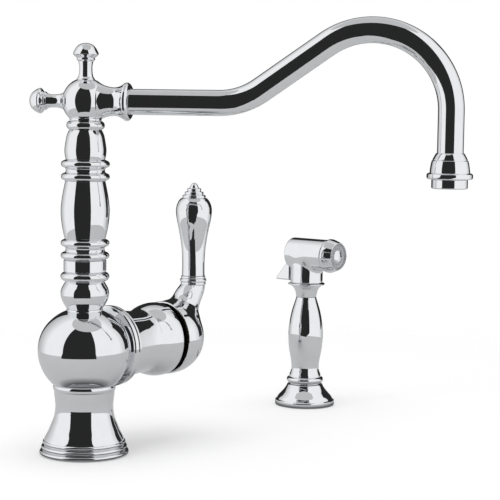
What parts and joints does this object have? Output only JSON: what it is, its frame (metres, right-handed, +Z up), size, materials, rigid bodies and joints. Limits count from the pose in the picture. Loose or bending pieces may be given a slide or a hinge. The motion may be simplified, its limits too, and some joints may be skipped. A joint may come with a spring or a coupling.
{
  "type": "side spray kitchen faucet",
  "caption": "Single-lever kitchen faucet with turned column, swivelling goose-neck spout, finials and a lift-out side spray in its own deck flange.",
  "frame": {"origin": "centre of the base ring on the deck, at the mouth of the tapped hole for the fixing stud", "axes": "+Z up, +X along the row of holes from the faucet through its lever to the side spray, -Y towards the user"},
  "size_m": [0.3367, 0.2918, 0.33],
  "materials": {
    "polished_chrome": "mirror polished chrome plate on brass",
    "cast_brass": "turned",
    "copper_pipe": "drawn tube",
    "black_rubber": "moulded",
    "white_acetal": "moulded",
    "cartridge_plastic": "moulded",
    "ceramic": "lapped alumina",
    "stainless_steel": "drawn and turned",
    "grey_plastic": "moulded"
  },
  "bodies": {
    "root": {"base_ring": "polished_chrome", "base_gasket": "black_rubber", "pedestal": "polished_chrome", "shank_block": "cast_brass", "supply_pipes": "copper_pipe", "mixed_pipe": "copper_pipe", "feed_pipe": "copper_pipe", "ball_body": "polished_chrome", "diverter_body": "cast_brass", "diverter_spring": "stainless_steel", "spring_retainer": "white_acetal", "port_collar": "polished_chrome", "cartridge_housing": "polished_chrome", "cartridge": "cartridge_plastic", "cartridge_seals": "black_rubber", "cartridge_nut": "cast_brass", "column_foot": "polished_chrome", "lower_bead_ring": "polished_chrome", "lower_barrel": "polished_chrome", "upper_bead_ring": "polished_chrome", "upper_barrel": "polished_chrome", "swivel_collar": "polished_chrome", "riser_tube": "copper_pipe", "swivel_post": "cast_brass", "post_rings": "black_rubber", "spray_flange": "polished_chrome", "spray_gasket": "black_rubber", "holder_bush": "white_acetal"},
    "turn": {"turning_disc": "ceramic"},
    "lever": {"lever_stem": "stainless_steel", "lever_dome": "polished_chrome", "lever_screw": "stainless_steel", "handle_ring": "polished_chrome", "lever_handle": "polished_chrome", "handle_tip": "polished_chrome"},
    "spout": {"hub": "polished_chrome", "swivel_bush": "white_acetal", "top_finial": "polished_chrome", "side_finial": "polished_chrome", "spout_nut": "polished_chrome", "spout_tube": "polished_chrome", "spout_seal": "black_rubber", "outlet_cap": "polished_chrome", "aerator_shell": "polished_chrome", "aerator_insert": "white_acetal", "aerator_washer": "black_rubber"},
    "spray": {"hose_nipple": "cast_brass", "spray_ferrule": "polished_chrome", "spray_grip": "polished_chrome", "grip_tube": "cast_brass", "spray_nut": "polished_chrome", "spray_head": "polished_chrome", "nozzle_bezel": "polished_chrome", "nozzle_face": "grey_plastic", "nozzle_plug": "grey_plastic", "trigger_pin": "stainless_steel", "trigger_spring": "stainless_steel"},
    "trigger": {"spray_trigger": "polished_chrome"},
    "plunger": {"valve_plunger": "white_acetal"},
    "diverter": {"diverter_piston": "white_acetal"}
  },
  "joints": [
    {"name": "spout_swivel", "type": "hinge", "parent": "root", "child": "spout", "pos_m": [0, 0, 0.26663], "axis": [0, 0, 1], "continuous": true},
    {"name": "lever_turn", "type": "hinge", "parent": "root", "child": "turn", "pos_m": [0, 0, 0.07962], "axis": [1, 0, 0], "range_deg": [-45, 45]},
    {"name": "lever_tilt", "type": "hinge", "parent": "turn", "child": "lever", "pos_m": [0.09292, 0, 0.07962], "axis": [0, 1, 0], "range_deg": [0, 11]},
    {"name": "spray_lift", "type": "slide", "parent": "root", "child": "spray", "axis": [0, 0, 1], "range_m": [0, 0.034]},
    {"name": "trigger_press", "type": "hinge", "parent": "spray", "child": "trigger", "pos_m": [0.275, 0.0126, 0.12725], "axis": [-1, 0, 0], "range_deg": [0, 12], "stiffness_Nm_per_rad": 0.3, "springref_deg": -8.59},
    {"name": "plunger_push", "type": "slide", "parent": "spray", "child": "plunger", "axis": [0, -1, 0], "range_m": [0, 0.0017]},
    {"name": "diverter_shift", "type": "slide", "parent": "root", "child": "diverter", "axis": [0, 0, 1], "range_m": [0, 0.0058], "deforming": ["diverter_spring"]}
  ],
  "couplings": [
    {"joint": "plunger_push", "follows": "trigger_press", "m_per_rad": 0.00745},
    {"joint": "diverter_shift", "follows": "trigger_press", "m_per_rad": 0.02674}
  ]
}
